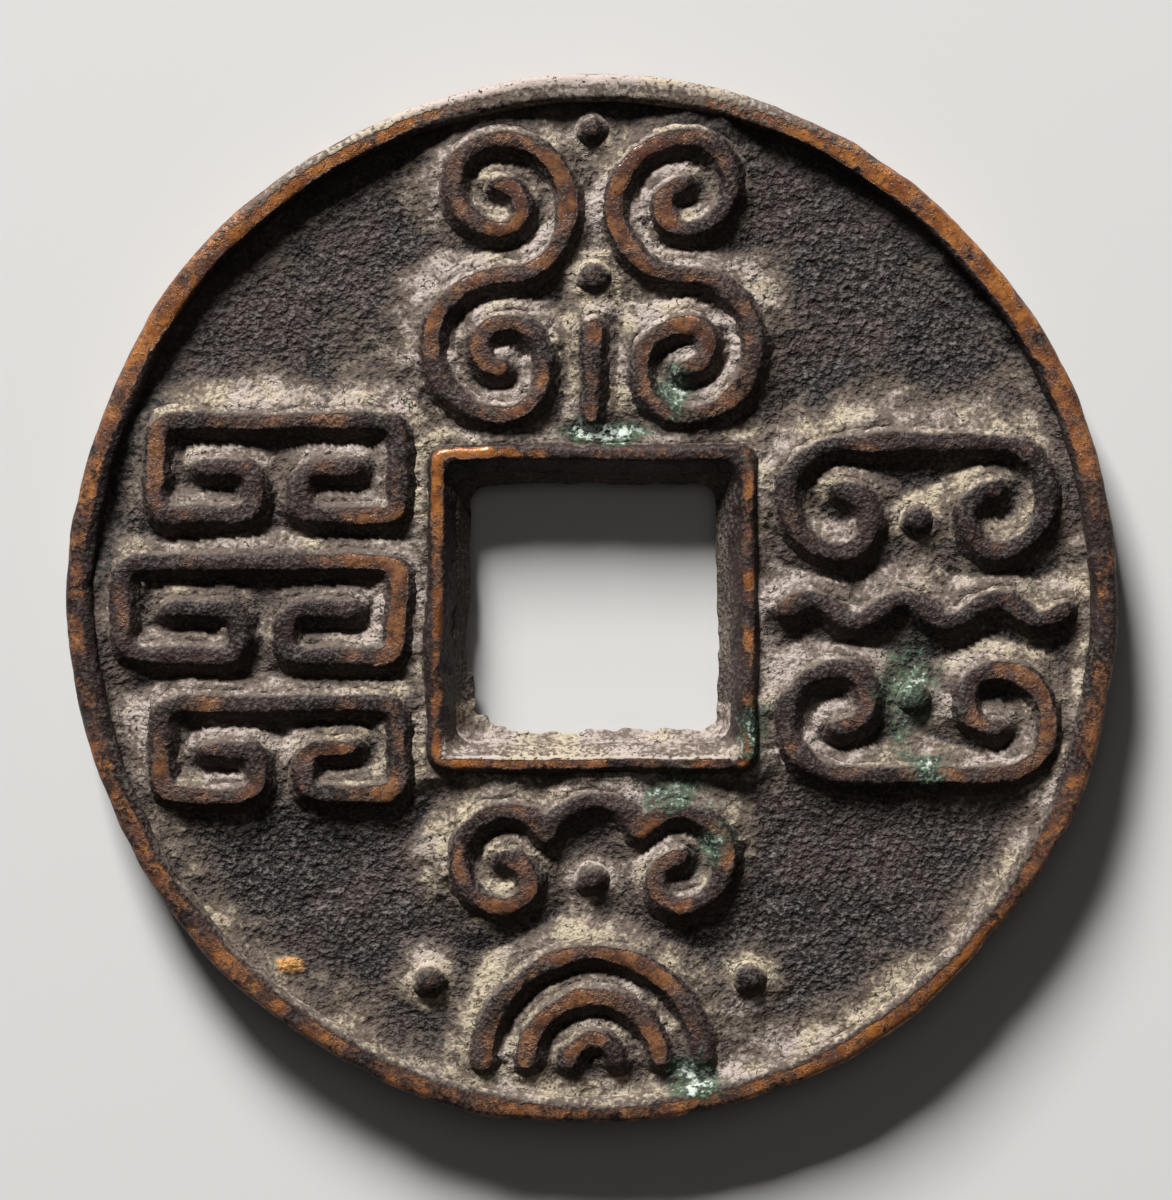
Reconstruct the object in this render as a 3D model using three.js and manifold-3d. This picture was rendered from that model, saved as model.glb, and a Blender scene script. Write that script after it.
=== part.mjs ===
// Large bronze cash coin. It is one casting with a square hole, raised rims on both faces and
// raised cloud, water and fret ornament on the face. Each raised feature is a solid of its own,
// seated on the flat of the flan. Units are millimetres, +Z up. The back rims stand on z = 0,
// and the round outline is centred on X = Y = 0.
import * as THREE from "three";
import { mergeVertices } from "three/addons/utils/BufferGeometryUtils.js";
import Module from "manifold-3d";

// Driving sizes of the casting
const COIN_DIAMETER = 45;
const BACK_RELIEF = 0.6;
const FLAN_THICKNESS = 1.2;
const FACE_RELIEF = 1.0;
const RIM_DRAFT = 0.3;
const EDGE_ROUNDING = 0.25;
const FACE_RIM_WIDTH = 1.0;
const BACK_RIM_WIDTH = 1.5;

// The square hole narrows from both faces to the fin where the two halves of the mould met
const HOLE_AT_FACE = 12.6;
const HOLE_AT_FIN = 10.7;
const HOLE_AT_BACK = 11.3;
const FIN_HEIGHT = 0.9;
const HOLE_CORNER = 0.8;
const HOLE_SHIFT_Y = -0.35;
const FACE_INNER_RIM_WIDTH = 0.65;
const BACK_INNER_RIM_WIDTH = 1.2;

// The section of a raised line, and the least gaps between lines and round the ornament
const LINE_HEIGHT = 0.9;
const LINE_BASE = 1.2;
const LINE_SHOULDER = 0.92;
const LINE_CROWN = 0.56;
const SHOULDER_LEVEL = 0.74;
const LINE_GAP = 0.8;
const LINE_BEND = 0.1;
const FIELD_GAP = 0.4;

// Forms of the ornament
const PEARL_RADIUS = 0.78;
const PEARL_HEIGHT = 0.8;
const RIPPLE_CRESTS = 3;
const RIPPLE_HEIGHT = 0.5;
const LOBE_RISE = 0.4;
const LOBE_OVERLAP = 0.3;
const WAVE_TO_LOBE = 2.3;
const WAVE_COUNT = 3;
const FRET_ROWS = ["upper", "middle", "lower"];

// How finely curves are faceted
const RIM_SEGMENTS = 96;
const EDGE_SEGMENTS = 3;
const CORNER_SEGMENTS = 4;
const SIDE_SEGMENTS = 4;
const ARC_TOLERANCE = 0.02;
const END_SEGMENTS = 4;
const RIPPLE_SEGMENTS = 8;
const PEARL_SEGMENTS = 14;
const PEARL_RINGS = 4;

const radians = THREE.MathUtils.degToRad;
const degrees = THREE.MathUtils.radToDeg;
const lerp = THREE.MathUtils.lerp;

// Levels and reaches that follow from the sizes above
const FLAN_BOTTOM = BACK_RELIEF;
const FLAN_TOP = FLAN_BOTTOM + FLAN_THICKNESS;
const FACE_TOP = FLAN_TOP + FACE_RELIEF;
const RADIUS = COIN_DIAMETER / 2;
const LINE_PITCH = LINE_BASE + LINE_GAP;
const LEAST_BEND = LINE_BASE / 2 + LINE_BEND;

// The middle of a line stays inside this radius, and beyond this distance from the hole's centre
const FIELD_MARGIN = RIM_DRAFT + FIELD_GAP + LINE_BASE / 2;
const FIELD_END = RADIUS - FACE_RIM_WIDTH - FIELD_MARGIN;
const FIELD_START = HOLE_AT_FACE / 2 + FACE_INNER_RIM_WIDTH + FIELD_MARGIN;

const BRONZE = { roughness: 0.55, metalness: 0.85 };
const patina = new THREE.MeshStandardMaterial({ color: 0x3d302c, ...BRONZE });
const wornBronze = new THREE.MeshStandardMaterial({ color: 0x8a5330, ...BRONZE });

const wasm = await Module();
wasm.setup();

// A closed surface through rings of equal point count. Each ring is an array of [x, y, z],
// counter-clockwise from above, and the rings run up the outside. They either go on round
// the section to the first one again, or the lowest and the highest are capped.
function loft(rings, closed) {
  const count = rings[0].length;
  const faces = [];
  const bands = closed ? rings.length : rings.length - 1;
  for (let r = 0; r < bands; r++) {
    const low = r * count;
    const high = ((r + 1) % rings.length) * count;
    for (let i = 0; i < count; i++) {
      const j = (i + 1) % count;
      faces.push(low + i, low + j, high + j, low + i, high + j, high + i);
    }
  }
  const cap = (ring, first, facesDown) => {
    const outline = ring.map(([x, y]) => new THREE.Vector2(x, y));
    for (const [a, b, c] of THREE.ShapeUtils.triangulateShape(outline, [])) {
      faces.push(first + a, first + (facesDown ? c : b), first + (facesDown ? b : c));
    }
  };
  if (!closed) {
    cap(rings[0], 0, true);
    cap(rings.at(-1), (rings.length - 1) * count, false);
  }
  const geometry = new THREE.BufferGeometry();
  geometry.setAttribute("position", new THREE.Float32BufferAttribute(rings.flat(2), 3));
  geometry.setIndex(faces);
  geometry.computeVertexNormals();
  return geometry;
}

// Joins closed geometries into one
function join(geometries) {
  const solids = geometries.map((geometry) => {
    const bare = geometry.clone();
    bare.deleteAttribute("normal");
    const merged = mergeVertices(bare);
    return new wasm.Manifold(
      new wasm.Mesh({
        numProp: 3,
        vertProperties: merged.attributes.position.array,
        triVerts: new Uint32Array(merged.index.array),
      }),
    );
  });
  const joined = solids.reduce((all, solid) => all.add(solid)).getMesh();
  const geometry = new THREE.BufferGeometry();
  geometry.setAttribute("position", new THREE.BufferAttribute(joined.vertProperties, 3));
  geometry.setIndex(new THREE.BufferAttribute(joined.triVerts, 1));
  geometry.computeVertexNormals();
  return geometry;
}

// The hole's half width at a height: two tapers that meet at the fin
function holeHalf(z) {
  if (z < FIN_HEIGHT) return lerp(HOLE_AT_BACK, HOLE_AT_FIN, z / FIN_HEIGHT) / 2;
  return lerp(HOLE_AT_FIN, HOLE_AT_FACE, (z - FIN_HEIGHT) / (FACE_TOP - FIN_HEIGHT)) / 2;
}

// A square ring with rounded corners, from the middle of its right side
function squareRing(half, z) {
  const straight = half - HOLE_CORNER;
  const quarter = [];
  for (let i = 0; i < SIDE_SEGMENTS; i++) {
    quarter.push([half, (straight * i) / SIDE_SEGMENTS]);
  }
  for (let i = 0; i <= CORNER_SEGMENTS; i++) {
    const angle = (Math.PI / 2) * (i / CORNER_SEGMENTS);
    quarter.push([straight + HOLE_CORNER * Math.cos(angle), straight + HOLE_CORNER * Math.sin(angle)]);
  }
  for (let i = 1; i < SIDE_SEGMENTS; i++) {
    quarter.push([straight * (1 - i / SIDE_SEGMENTS), half]);
  }
  const turns = [([x, y]) => [x, y], ([x, y]) => [-y, x], ([x, y]) => [-x, -y], ([x, y]) => [y, -x]];
  return turns.flatMap((turn) => quarter.map(turn)).map(([x, y]) => [x, y + HOLE_SHIFT_Y, z]);
}

function circleRing(radius, z) {
  return Array.from({ length: RIM_SEGMENTS }, (_, i) => {
    const angle = (2 * Math.PI * i) / RIM_SEGMENTS;
    return [radius * Math.cos(angle), radius * Math.sin(angle), z];
  });
}

// The hole's ring at a height, each side split so that it has as many points as a circle
function splitHoleRing(z) {
  const ring = squareRing(holeHalf(z), z);
  const parts = Math.round(RIM_SEGMENTS / ring.length);
  return ring.flatMap(([x, y], i) => {
    const [nextX, nextY] = ring[(i + 1) % ring.length];
    const shares = Array.from({ length: parts }, (_, k) => k / parts);
    return shares.map((share) => [lerp(x, nextX, share), lerp(y, nextY, share), z]);
  });
}

// The disc that carries every raised feature, with the hole and its fin
function flanGeometry() {
  const outside = [circleRing(RADIUS, FLAN_BOTTOM), circleRing(RADIUS, FLAN_TOP)];
  const hole = [FLAN_TOP, FIN_HEIGHT, FLAN_BOTTOM].map(splitHoleRing);
  return loft([...outside, ...hole], true);
}

// A quarter round from a vertical side onto a face, as [inset, depth below the face]
function edgeRound() {
  return Array.from({ length: EDGE_SEGMENTS + 1 }, (_, i) => {
    const angle = (Math.PI / 2) * (i / EDGE_SEGMENTS);
    return [EDGE_ROUNDING * (1 - Math.cos(angle)), EDGE_ROUNDING * (1 - Math.sin(angle))];
  });
}

// A round rim from the flan's flat out to the coin's face, its outer corner rounded by wear
function roundRimGeometry(flat, face, width) {
  const out = Math.sign(face - flat);
  const rings = [
    circleRing(RADIUS, flat),
    ...edgeRound().map(([inset, depth]) => circleRing(RADIUS - inset, face - out * depth)),
    circleRing(RADIUS - width, face),
    circleRing(RADIUS - width - RIM_DRAFT, flat),
  ];
  return loft(out > 0 ? rings : rings.reverse(), true);
}

// A square rim round the hole, from the flan's flat out to the coin's face
function squareRimGeometry(flat, face, width) {
  const out = Math.sign(face - flat);
  const faceHalf = holeHalf(face) + width;
  const rings = [
    squareRing(faceHalf + RIM_DRAFT, flat),
    ...edgeRound().map(([inset, depth]) => squareRing(faceHalf - inset, face - out * depth)),
    squareRing(holeHalf(face), face),
    squareRing(holeHalf(flat), flat),
  ];
  return loft(out > 0 ? rings : rings.reverse(), true);
}

const point = (x, y) => new THREE.Vector2(x, y);
const mirrored = (points) => points.map(({ x, y }) => point(-x, y)).reverse();

function polar(centre, radius, angleDegrees) {
  const angle = radians(angleDegrees);
  return point(centre.x + radius * Math.cos(angle), centre.y + radius * Math.sin(angle));
}

// Points between the two ends of a half circle round a centre, counter-clockwise from a point
function roundEnd(centre, from) {
  return Array.from({ length: END_SEGMENTS - 1 }, (_, i) => {
    return from.clone().rotateAround(centre, (Math.PI * (i + 1)) / END_SEGMENTS);
  });
}

// The outline at a half width round a line of points, with round ends, counter-clockwise
function outlineOf(points, half) {
  const right = [];
  const left = [];
  points.forEach((middle, i) => {
    const along = point(0, 0);
    if (i > 0) along.add(middle.clone().sub(points[i - 1]).normalize());
    if (i < points.length - 1) along.add(points[i + 1].clone().sub(middle).normalize());
    const across = point(along.y, -along.x).setLength(half);
    right.push(middle.clone().add(across));
    left.push(middle.clone().sub(across));
  });
  const farEnd = roundEnd(points.at(-1), right.at(-1));
  const nearEnd = roundEnd(points[0], left[0]);
  return [...right, ...farEnd, ...left.reverse(), ...nearEnd];
}

// A raised line of the ornament: drafted sides and a narrower, rounded crown
function raisedLine(points) {
  const section = [
    [LINE_BASE, 0],
    [LINE_SHOULDER, LINE_HEIGHT * SHOULDER_LEVEL],
    [LINE_CROWN, LINE_HEIGHT],
  ];
  const rings = section.map(([width, z]) => outlineOf(points, width / 2).map(({ x, y }) => [x, y, z]));
  return loft(rings, false);
}

// A round boss, domed like a pearl
function pearlGeometry() {
  const profile = [point(0, 0)];
  for (let i = 0; i < PEARL_RINGS; i++) {
    const angle = (Math.PI / 2) * (i / PEARL_RINGS);
    profile.push(point(PEARL_RADIUS * Math.cos(angle), PEARL_HEIGHT * Math.sin(angle)));
  }
  profile.push(point(0, PEARL_HEIGHT));
  return new THREE.LatheGeometry(profile, PEARL_SEGMENTS).rotateX(Math.PI / 2);
}

// An arc between two angles in degrees, in chords that leave it by no more than the tolerance
function arc(centre, radius, from, to) {
  const step = 2 * degrees(Math.acos(1 - ARC_TOLERANCE / radius));
  const steps = Math.ceil(Math.abs(to - from) / step);
  return Array.from({ length: steps + 1 }, (_, i) => polar(centre, radius, lerp(from, to, i / steps)));
}

// A volute from its outer end in to its eye, in half turns that each draw in by half a pitch.
// turn is 1 for counter-clockwise and -1 for clockwise.
function volute(centre, radius, start, turn) {
  const otherCentre = polar(centre, -LINE_PITCH / 2, start);
  const halfTurns = Math.floor((radius - LEAST_BEND) / (LINE_PITCH / 2)) + 1;
  return Array.from({ length: halfTurns }, (_, i) => {
    const from = start + turn * 180 * i;
    const half = arc(i % 2 ? otherCentre : centre, radius - (i * LINE_PITCH) / 2, from, from + turn * 180);
    return i ? half.slice(1) : half;
  }).flat();
}

// A line through square corners, each rounded to the least bend
function roundedCorners(corners) {
  const line = [corners[0]];
  for (let i = 1; i < corners.length - 1; i++) {
    const back = corners[i - 1].clone().sub(corners[i]).setLength(LEAST_BEND);
    const ahead = corners[i + 1].clone().sub(corners[i]).setLength(LEAST_BEND);
    const centre = corners[i].clone().add(back).add(ahead);
    const from = degrees(ahead.clone().negate().angle());
    line.push(...arc(centre, LEAST_BEND, from, from + 90 * Math.sign(ahead.cross(back))));
  }
  line.push(corners.at(-1));
  return line;
}

// The radius at which two volutes, one outside the other, just reach the end of the field.
// The outer one's centre lies three radii and a start away from the coin's centre along one
// axis, and one radius and an offset along the other.
function fittedRadius(start, offset) {
  const sum = offset + 3 * start + FIELD_END;
  const room = FIELD_END ** 2 - offset ** 2 - start ** 2;
  return (Math.sqrt(sum ** 2 + 9 * room) - sum) / 9;
}

// Two volutes of one line, the upper over the lower, that curl opposite ways
function sScroll(lower, radius) {
  const upper = point(lower.x, lower.y + 2 * radius);
  const rising = volute(lower, radius, 90, -1).reverse();
  return [...rising, ...volute(upper, radius, 270, -1).slice(1)];
}

// Two volutes that curl towards each other from a bar, which lies above for side 1, below for -1
function cScroll(spacing, radius, side) {
  const right = volute(point(spacing / 2, 0), radius, 90 * side, -side);
  return [...mirrored(right), ...right];
}

function rippleLine(length) {
  const steps = RIPPLE_CRESTS * RIPPLE_SEGMENTS;
  return Array.from({ length: steps + 1 }, (_, i) => {
    const share = i / steps;
    return point(length * (share - 0.5), RIPPLE_HEIGHT * Math.sin(2 * Math.PI * RIPPLE_CRESTS * share));
  });
}

// A three-lobed cloud head: a middle lobe that rises between two volutes of the same radius
function cloudHead(radius) {
  const apart = 2 * radius - LOBE_OVERLAP;
  const side = point(Math.sqrt(apart ** 2 - LOBE_RISE ** 2), 0);
  const fall = degrees(Math.asin(LOBE_RISE / apart));
  const meet = degrees(Math.acos(apart / 2 / radius));
  const lobe = arc(point(0, LOBE_RISE), radius, 180 + fall - meet, meet - fall);
  const shoulder = arc(side, radius, 180 - fall - meet, 90);
  const right = [...shoulder, ...volute(side, radius, 90, -1).slice(1)];
  return join([right, mirrored(right), lobe.reverse()].map(raisedLine));
}

// A pair of squared spirals under one bar
function fretLine(width) {
  const half = width / 2;
  const right = [
    point(half, LINE_PITCH),
    point(half, -LINE_PITCH),
    point(LINE_PITCH / 2, -LINE_PITCH),
    point(LINE_PITCH / 2, 0),
    point(half - LINE_PITCH, 0),
  ];
  return roundedCorners([...mirrored(right), ...right]);
}

const coin = new THREE.Group();

function add(parent, name, geometry, material, x = 0, y = 0) {
  const mesh = new THREE.Mesh(geometry, material);
  mesh.name = name;
  mesh.position.set(x, y, 0);
  parent.add(mesh);
}

// The casting's body and rims
add(coin, "flan", flanGeometry(), patina);
add(coin, "face_outer_rim", roundRimGeometry(FLAN_TOP, FACE_TOP, FACE_RIM_WIDTH), wornBronze);
add(coin, "face_inner_rim", squareRimGeometry(FLAN_TOP, FACE_TOP, FACE_INNER_RIM_WIDTH), wornBronze);
add(coin, "back_outer_rim", roundRimGeometry(FLAN_BOTTOM, 0, BACK_RIM_WIDTH), wornBronze);
add(coin, "back_inner_rim", squareRimGeometry(FLAN_BOTTOM, 0, BACK_INNER_RIM_WIDTH), wornBronze);

// The ornament stands on the flat of the face
const ornament = new THREE.Group();
ornament.position.z = FLAN_TOP;
coin.add(ornament);

// Above the hole, two mirrored scrolls with a pearl between their volutes, one over them and a
// stem below
const scrollSide = LINE_PITCH / 2;
const scrollStart = FIELD_START + HOLE_SHIFT_Y;
const scrollRadius = fittedRadius(scrollStart, scrollSide);
const scroll = sScroll(point(scrollSide + scrollRadius, scrollStart + scrollRadius), scrollRadius);
add(ornament, "top_scroll_right", raisedLine(scroll), patina);
add(ornament, "top_scroll_left", raisedLine(mirrored(scroll)), patina);
const pearlY = scrollStart + 2 * scrollRadius;
const stemEnd = pearlY - PEARL_RADIUS - LINE_GAP - LINE_BASE / 2;
const stem = [point(0, scrollStart), point(0, stemEnd)];
add(ornament, "top_stem", raisedLine(stem), patina);
add(ornament, "top_pearl_inner", pearlGeometry(), patina, 0, pearlY);
add(ornament, "top_pearl_outer", pearlGeometry(), patina, 0, FIELD_END + LINE_BASE / 2 - PEARL_RADIUS);

// Right of the hole, a ripple between two cloud scrolls, each with a pearl between its volutes
const cloudSide = RIPPLE_HEIGHT + LINE_PITCH;
const cloudRadius = fittedRadius(FIELD_START + LINE_PITCH, cloudSide + Math.abs(HOLE_SHIFT_Y));
const cloudSpacing = 2 * cloudRadius + LINE_PITCH;
const cloudX = FIELD_START + cloudRadius + cloudSpacing / 2;
const cloudY = cloudSide + cloudRadius;
for (const [row, side] of [["upper", 1], ["lower", -1]]) {
  const y = HOLE_SHIFT_Y + side * cloudY;
  const line = cScroll(cloudSpacing, cloudRadius, side);
  add(ornament, `right_cloud_${row}`, raisedLine(line), patina, cloudX, y);
  add(ornament, `right_pearl_${row}`, pearlGeometry(), patina, cloudX, y - side * LINE_PITCH / 2);
}
const rippleEnd = Math.sqrt(FIELD_END ** 2 - (RIPPLE_HEIGHT + Math.abs(HOLE_SHIFT_Y)) ** 2);
const ripple = rippleLine(rippleEnd - FIELD_START);
add(ornament, "right_ripple", raisedLine(ripple), patina, (FIELD_START + rippleEnd) / 2, HOLE_SHIFT_Y);

// Below the hole, a cloud head over waves in nested arches. The lobes and the widest arch keep
// one ratio, and that arch's feet reach the end of the field. Its centre lies a depth and a
// spread of lobe radii below the coin's centre.
const depth = FIELD_START - HOLE_SHIFT_Y + LOBE_RISE + LINE_PITCH;
const spread = 2 + WAVE_TO_LOBE;
const squares = spread ** 2 + WAVE_TO_LOBE ** 2;
const reach = (depth * spread) ** 2 + squares * (FIELD_END ** 2 - depth ** 2);
const lobeRadius = (Math.sqrt(reach) - depth * spread) / squares;
const headY = HOLE_SHIFT_Y - FIELD_START - LOBE_RISE - lobeRadius;
add(ornament, "bottom_cloud_head", cloudHead(lobeRadius), patina, 0, headY);

const waveTop = headY - lobeRadius - LINE_PITCH;
const waveRadius = WAVE_TO_LOBE * lobeRadius;
const waveStep = (waveRadius - LINE_PITCH / 2) / (WAVE_COUNT - 1);
for (let i = 0; i < WAVE_COUNT; i++) {
  const line = arc(point(0, 0), waveRadius - i * waveStep, 0, 180);
  add(ornament, `bottom_wave_${i + 1}`, raisedLine(line), patina, 0, waveTop - waveRadius);
}

// A pearl in the cloud head, and one at each side of the waves
const pearlX = waveRadius + LINE_BASE / 2 + LINE_GAP + PEARL_RADIUS;
add(ornament, "bottom_pearl_middle", pearlGeometry(), patina, 0, headY - LINE_PITCH / 2);
add(ornament, "bottom_pearl_right", pearlGeometry(), patina, pearlX, waveTop - LINE_BASE);
add(ornament, "bottom_pearl_left", pearlGeometry(), patina, -pearlX, waveTop - LINE_BASE);

// Left of the hole, rows of squared spirals, each as long as the round field allows
FRET_ROWS.forEach((row, i) => {
  const y = HOLE_SHIFT_Y + 3 * LINE_PITCH * ((FRET_ROWS.length - 1) / 2 - i);
  const end = Math.sqrt(FIELD_END ** 2 - (Math.abs(y) + LINE_PITCH) ** 2);
  const line = fretLine(end - FIELD_START);
  add(ornament, `left_fret_${row}`, raisedLine(line), patina, -(FIELD_START + end) / 2, y);
});

export default coin;
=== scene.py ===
"""A large cast bronze cash coin with dark patina, rubbed copper edges, soil in its recesses and
spots of verdigris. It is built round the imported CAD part. Shapes are worked out in millimetres
and turned into metres when a mesh is made."""

import math

import bpy
import numpy as np
from mathutils import Matrix, Vector
from mathutils.bvhtree import BVHTree

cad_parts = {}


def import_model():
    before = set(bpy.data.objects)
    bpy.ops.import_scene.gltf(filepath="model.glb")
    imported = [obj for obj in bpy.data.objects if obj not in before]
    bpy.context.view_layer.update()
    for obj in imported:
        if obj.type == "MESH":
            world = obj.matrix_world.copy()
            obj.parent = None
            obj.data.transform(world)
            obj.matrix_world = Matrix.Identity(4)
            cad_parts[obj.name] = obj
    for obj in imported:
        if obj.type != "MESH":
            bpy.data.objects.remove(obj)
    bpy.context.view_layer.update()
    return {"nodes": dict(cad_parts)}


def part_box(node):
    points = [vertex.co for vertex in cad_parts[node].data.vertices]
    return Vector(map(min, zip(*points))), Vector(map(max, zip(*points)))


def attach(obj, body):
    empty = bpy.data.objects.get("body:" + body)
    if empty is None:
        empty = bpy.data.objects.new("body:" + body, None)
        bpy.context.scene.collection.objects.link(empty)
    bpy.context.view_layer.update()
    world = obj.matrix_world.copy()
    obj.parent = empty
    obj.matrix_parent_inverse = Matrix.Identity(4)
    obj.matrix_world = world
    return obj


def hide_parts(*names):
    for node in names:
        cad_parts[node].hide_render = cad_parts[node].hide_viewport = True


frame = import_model()

MM = 0.001
flan_low, flan_high = (np.array(corner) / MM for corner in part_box("flan"))
RADIUS = flan_high[0]
BACK_FACE = 0.0
BACK_FIELD = flan_low[2]
FACE_FIELD = flan_high[2]
FACE_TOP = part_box("face_outer_rim")[1].z / MM

# The coin's outer wall, drawn in so that its unevenness stays within the part's cylinder
EDGE = RADIUS - 0.06

# The least clearance of every point from the part's cylinder and from its two faces
CLEAR_AROUND = 0.005
CLEAR_FACES = 0.004

# The square hole, as in the part: its half width at the two faces and at the fin
HOLE_CENTRE = np.array([0.0, -0.35])
HOLE_AT_FACE = 6.3
HOLE_AT_FIN = 5.35
HOLE_AT_BACK = 5.65
FIN_LEVEL = 0.9
HOLE_CORNER = 0.8

# The feet of the rims: a radius for the round ones, a half width for the square ones
FACE_RIM_FOOT = 21.2
BACK_RIM_FOOT = 20.7
FACE_SQUARE_FOOT = 7.25
BACK_SQUARE_FOOT = 7.15

# The width of the round rims at their tops, and of the square rims' slopes seen from above
FACE_RIM_WIDTH = 1.15
BACK_RIM_WIDTH = 1.5
SQUARE_SLOPE = 0.3

# How far rims and relief go down into the flan, and how far its fields go on under the rims
RIM_SINK = 0.3
LINE_SINK = 0.4
UNDER_RIM = 0.1

# How finely the pieces are meshed
FLAN_AROUND = 690
RIM_AROUND = 1100
SQUARE_AROUND = 640
FACE_ROWS = 104
BACK_ROWS = 18
ROUND_SECTION = 44
SQUARE_SECTION = 38
LINE_VOXEL = 0.07
LINE_EASING = 70
PEARL_EASING = 30

# The relief's height above the field, and the level at which its crowns are worn off
LINE_HEIGHT = 0.9
WORN_LEVEL = 2.68

# The sways of a hand-cut pattern: their size, how far they reach sideways, and their seed
SWAYS = ((7.0, 0.16, 11), (2.2, 0.065, 21), (0.8, 0.02, 31))

# How many nicks a rim has and how deep they are, and between which radii lumps lie on the fields
NICK_COUNT = 110
NICK_DEPTH = 0.09
LUMPS_FROM = 8
LUMPS_TO = 21

# The way across the face to the main light. Pale soil colour is painted thickest on the slopes that face
# it, as a painted lit side, and thinnest on those away from it, as painted shade
TO_LIGHT = (-0.34, 0.94)

RELIEF = sorted(n for n in frame["nodes"] if n != "flan" and not n.endswith("_rim"))


def smoothstep(low, high, value):
    share = np.clip((value - low) / (high - low), 0, 1)
    return share * share * (3 - 2 * share)


def bell(distance, reach, power=2):
    """1 at no distance, falling off smoothly round the reach. A higher power has a flatter top."""
    return np.exp(-((distance / reach) ** power))


def hashed(cells, seed):
    """32 random bits for each row of three whole numbers."""
    mixed = cells[:, 0] * 73856093 + cells[:, 1] * 19349663 + cells[:, 2] * 83492791 + seed * 2654435
    for _ in range(2):
        mixed = ((mixed ^ (mixed >> 15)) & 0xFFFFFFFF) * 0x2C1B3C6D & 0xFFFFFFFF
    return mixed ^ (mixed >> 13)


def noise(points, size, seed):
    """Smooth noise from -1 to 1 at each point, with swellings about one size across."""
    axes = np.linalg.qr(np.random.default_rng(seed).normal(size=(3, 3)))[0]
    scaled = points @ axes / size + 1000
    cells = np.floor(scaled).astype(np.int64)
    share = scaled - cells
    fade = share**3 * (share * (share * 6 - 15) + 10)
    total = np.zeros(len(points))
    for corner in np.ndindex(2, 2, 2):
        bits = hashed(cells + np.array(corner), seed)
        slope = np.stack([(bits >> shift) & 1023 for shift in (2, 12, 22)], axis=1) / 511.5 - 1
        weight = np.prod(np.where(corner, fade, 1 - fade), axis=1)
        total += weight * np.sum(slope * (share - corner), axis=1)
    return np.clip(1.7 * total, -1, 1)


def rough(points, size, seed, layers=3):
    """Noise in layers, each half as large and half as strong as the one before."""
    total = sum(noise(points, size / 2**i, seed + 7 * i) / 2**i for i in range(layers))
    return total / (2 - 0.5 ** (layers - 1))


def softmin(value, limit, width=0.03):
    """The lower of two values, with a round corner where they cross."""
    mid = np.clip(0.5 + 0.5 * (limit - value) / width, 0, 1)
    return limit * (1 - mid) + value * mid - width * mid * (1 - mid)


def hole_half(z):
    """Half the width of the square hole at a height."""
    to_face = HOLE_AT_FIN + (HOLE_AT_FACE - HOLE_AT_FIN) * (z - FIN_LEVEL) / (FACE_TOP - FIN_LEVEL)
    to_back = HOLE_AT_BACK + (HOLE_AT_FIN - HOLE_AT_BACK) * z / FIN_LEVEL
    return np.where(z < FIN_LEVEL, to_back, to_face)


def circle_path(radius, count):
    angle = 2 * np.pi * np.arange(count) / count
    return np.stack([radius * np.cos(angle), radius * np.sin(angle)], axis=1)


def square_path(half, count):
    """Evenly spaced points round a square with rounded corners, from the middle of its right side."""
    straight = half - HOLE_CORNER
    quarter = 2 * straight + HOLE_CORNER * np.pi / 2
    along = 4 * quarter * np.arange(count) / count
    side = (along // quarter).astype(int) % 4
    rest = along - side * quarter
    angle = np.clip((rest - straight) / HOLE_CORNER, 0, np.pi / 2)
    x = straight + HOLE_CORNER * np.cos(angle) - np.clip(rest - quarter + straight, 0, None)
    y = np.clip(rest, 0, straight) + HOLE_CORNER * np.sin(angle)
    turn = side * np.pi / 2
    turned = [x * np.cos(turn) - y * np.sin(turn), x * np.sin(turn) + y * np.cos(turn)]
    return np.stack(turned, axis=1) + HOLE_CENTRE


def at_level(path, z):
    return np.column_stack([path, np.full(len(path), z)])


def from_middle(points):
    """Distance out from the coin's middle, seen from above."""
    return np.hypot(points[:, 0], points[:, 1])


def from_square(points):
    """Distance out from the hole's centre lines, as the half width of a square through a point."""
    apart = np.abs(points[:, :2] - HOLE_CENTRE)
    return apart.max(axis=1)


def toward_light(points):
    """How far a point lies out from the coin's middle on the side of the main light, from -1 to 1."""
    return points[:, :2] @ TO_LIGHT / np.maximum(from_middle(points), 1e-9)


def warped(points):
    """Moves points as an uneven, hand-cut pattern does. Pieces that meet are moved alike."""
    moved = points.copy()
    for size, reach, seed in SWAYS:
        for axis in range(2):
            moved[:, axis] += reach * noise(points, size, seed + axis)
    moved[:, 2] += 0.02 * noise(points, 3.0, 41)
    return moved


def kept_inside(points):
    """Pulls points that stand out of the part's own cylinder back into it."""
    pull = np.minimum(1, (RADIUS - CLEAR_AROUND) / np.maximum(from_middle(points), 1e-9))
    points[:, :2] *= pull[:, None]
    points[:, 2] = np.clip(points[:, 2], CLEAR_FACES, FACE_TOP - CLEAR_FACES)
    return points


def smoothed_section(corners, count):
    """A closed section through rounded corners, resampled to evenly spaced points."""
    line = np.array(corners, float)
    for _ in range(3):
        after = np.roll(line, -1, axis=0)
        line = np.stack([0.75 * line + 0.25 * after, 0.25 * line + 0.75 * after], axis=1).reshape(-1, 2)
    closed = np.vstack([line, line[:1]])
    length = np.concatenate([[0], np.cumsum(np.hypot(*np.diff(closed, axis=0).T))])
    wanted = np.linspace(0, length[-1], count, endpoint=False)
    return np.stack([np.interp(wanted, length, closed[:, i]) for i in range(2)], axis=1)


def grid_faces(rows, around):
    """The quads of a grid that closes on itself both ways."""
    row, column = np.meshgrid(np.arange(rows), np.arange(around), indexing="ij")
    next_row = (row + 1) % rows
    next_column = (column + 1) % around
    corners = [row * around + column, row * around + next_column,
               next_row * around + next_column, next_row * around + column]
    return np.stack([c.ravel() for c in corners], axis=1)


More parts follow.
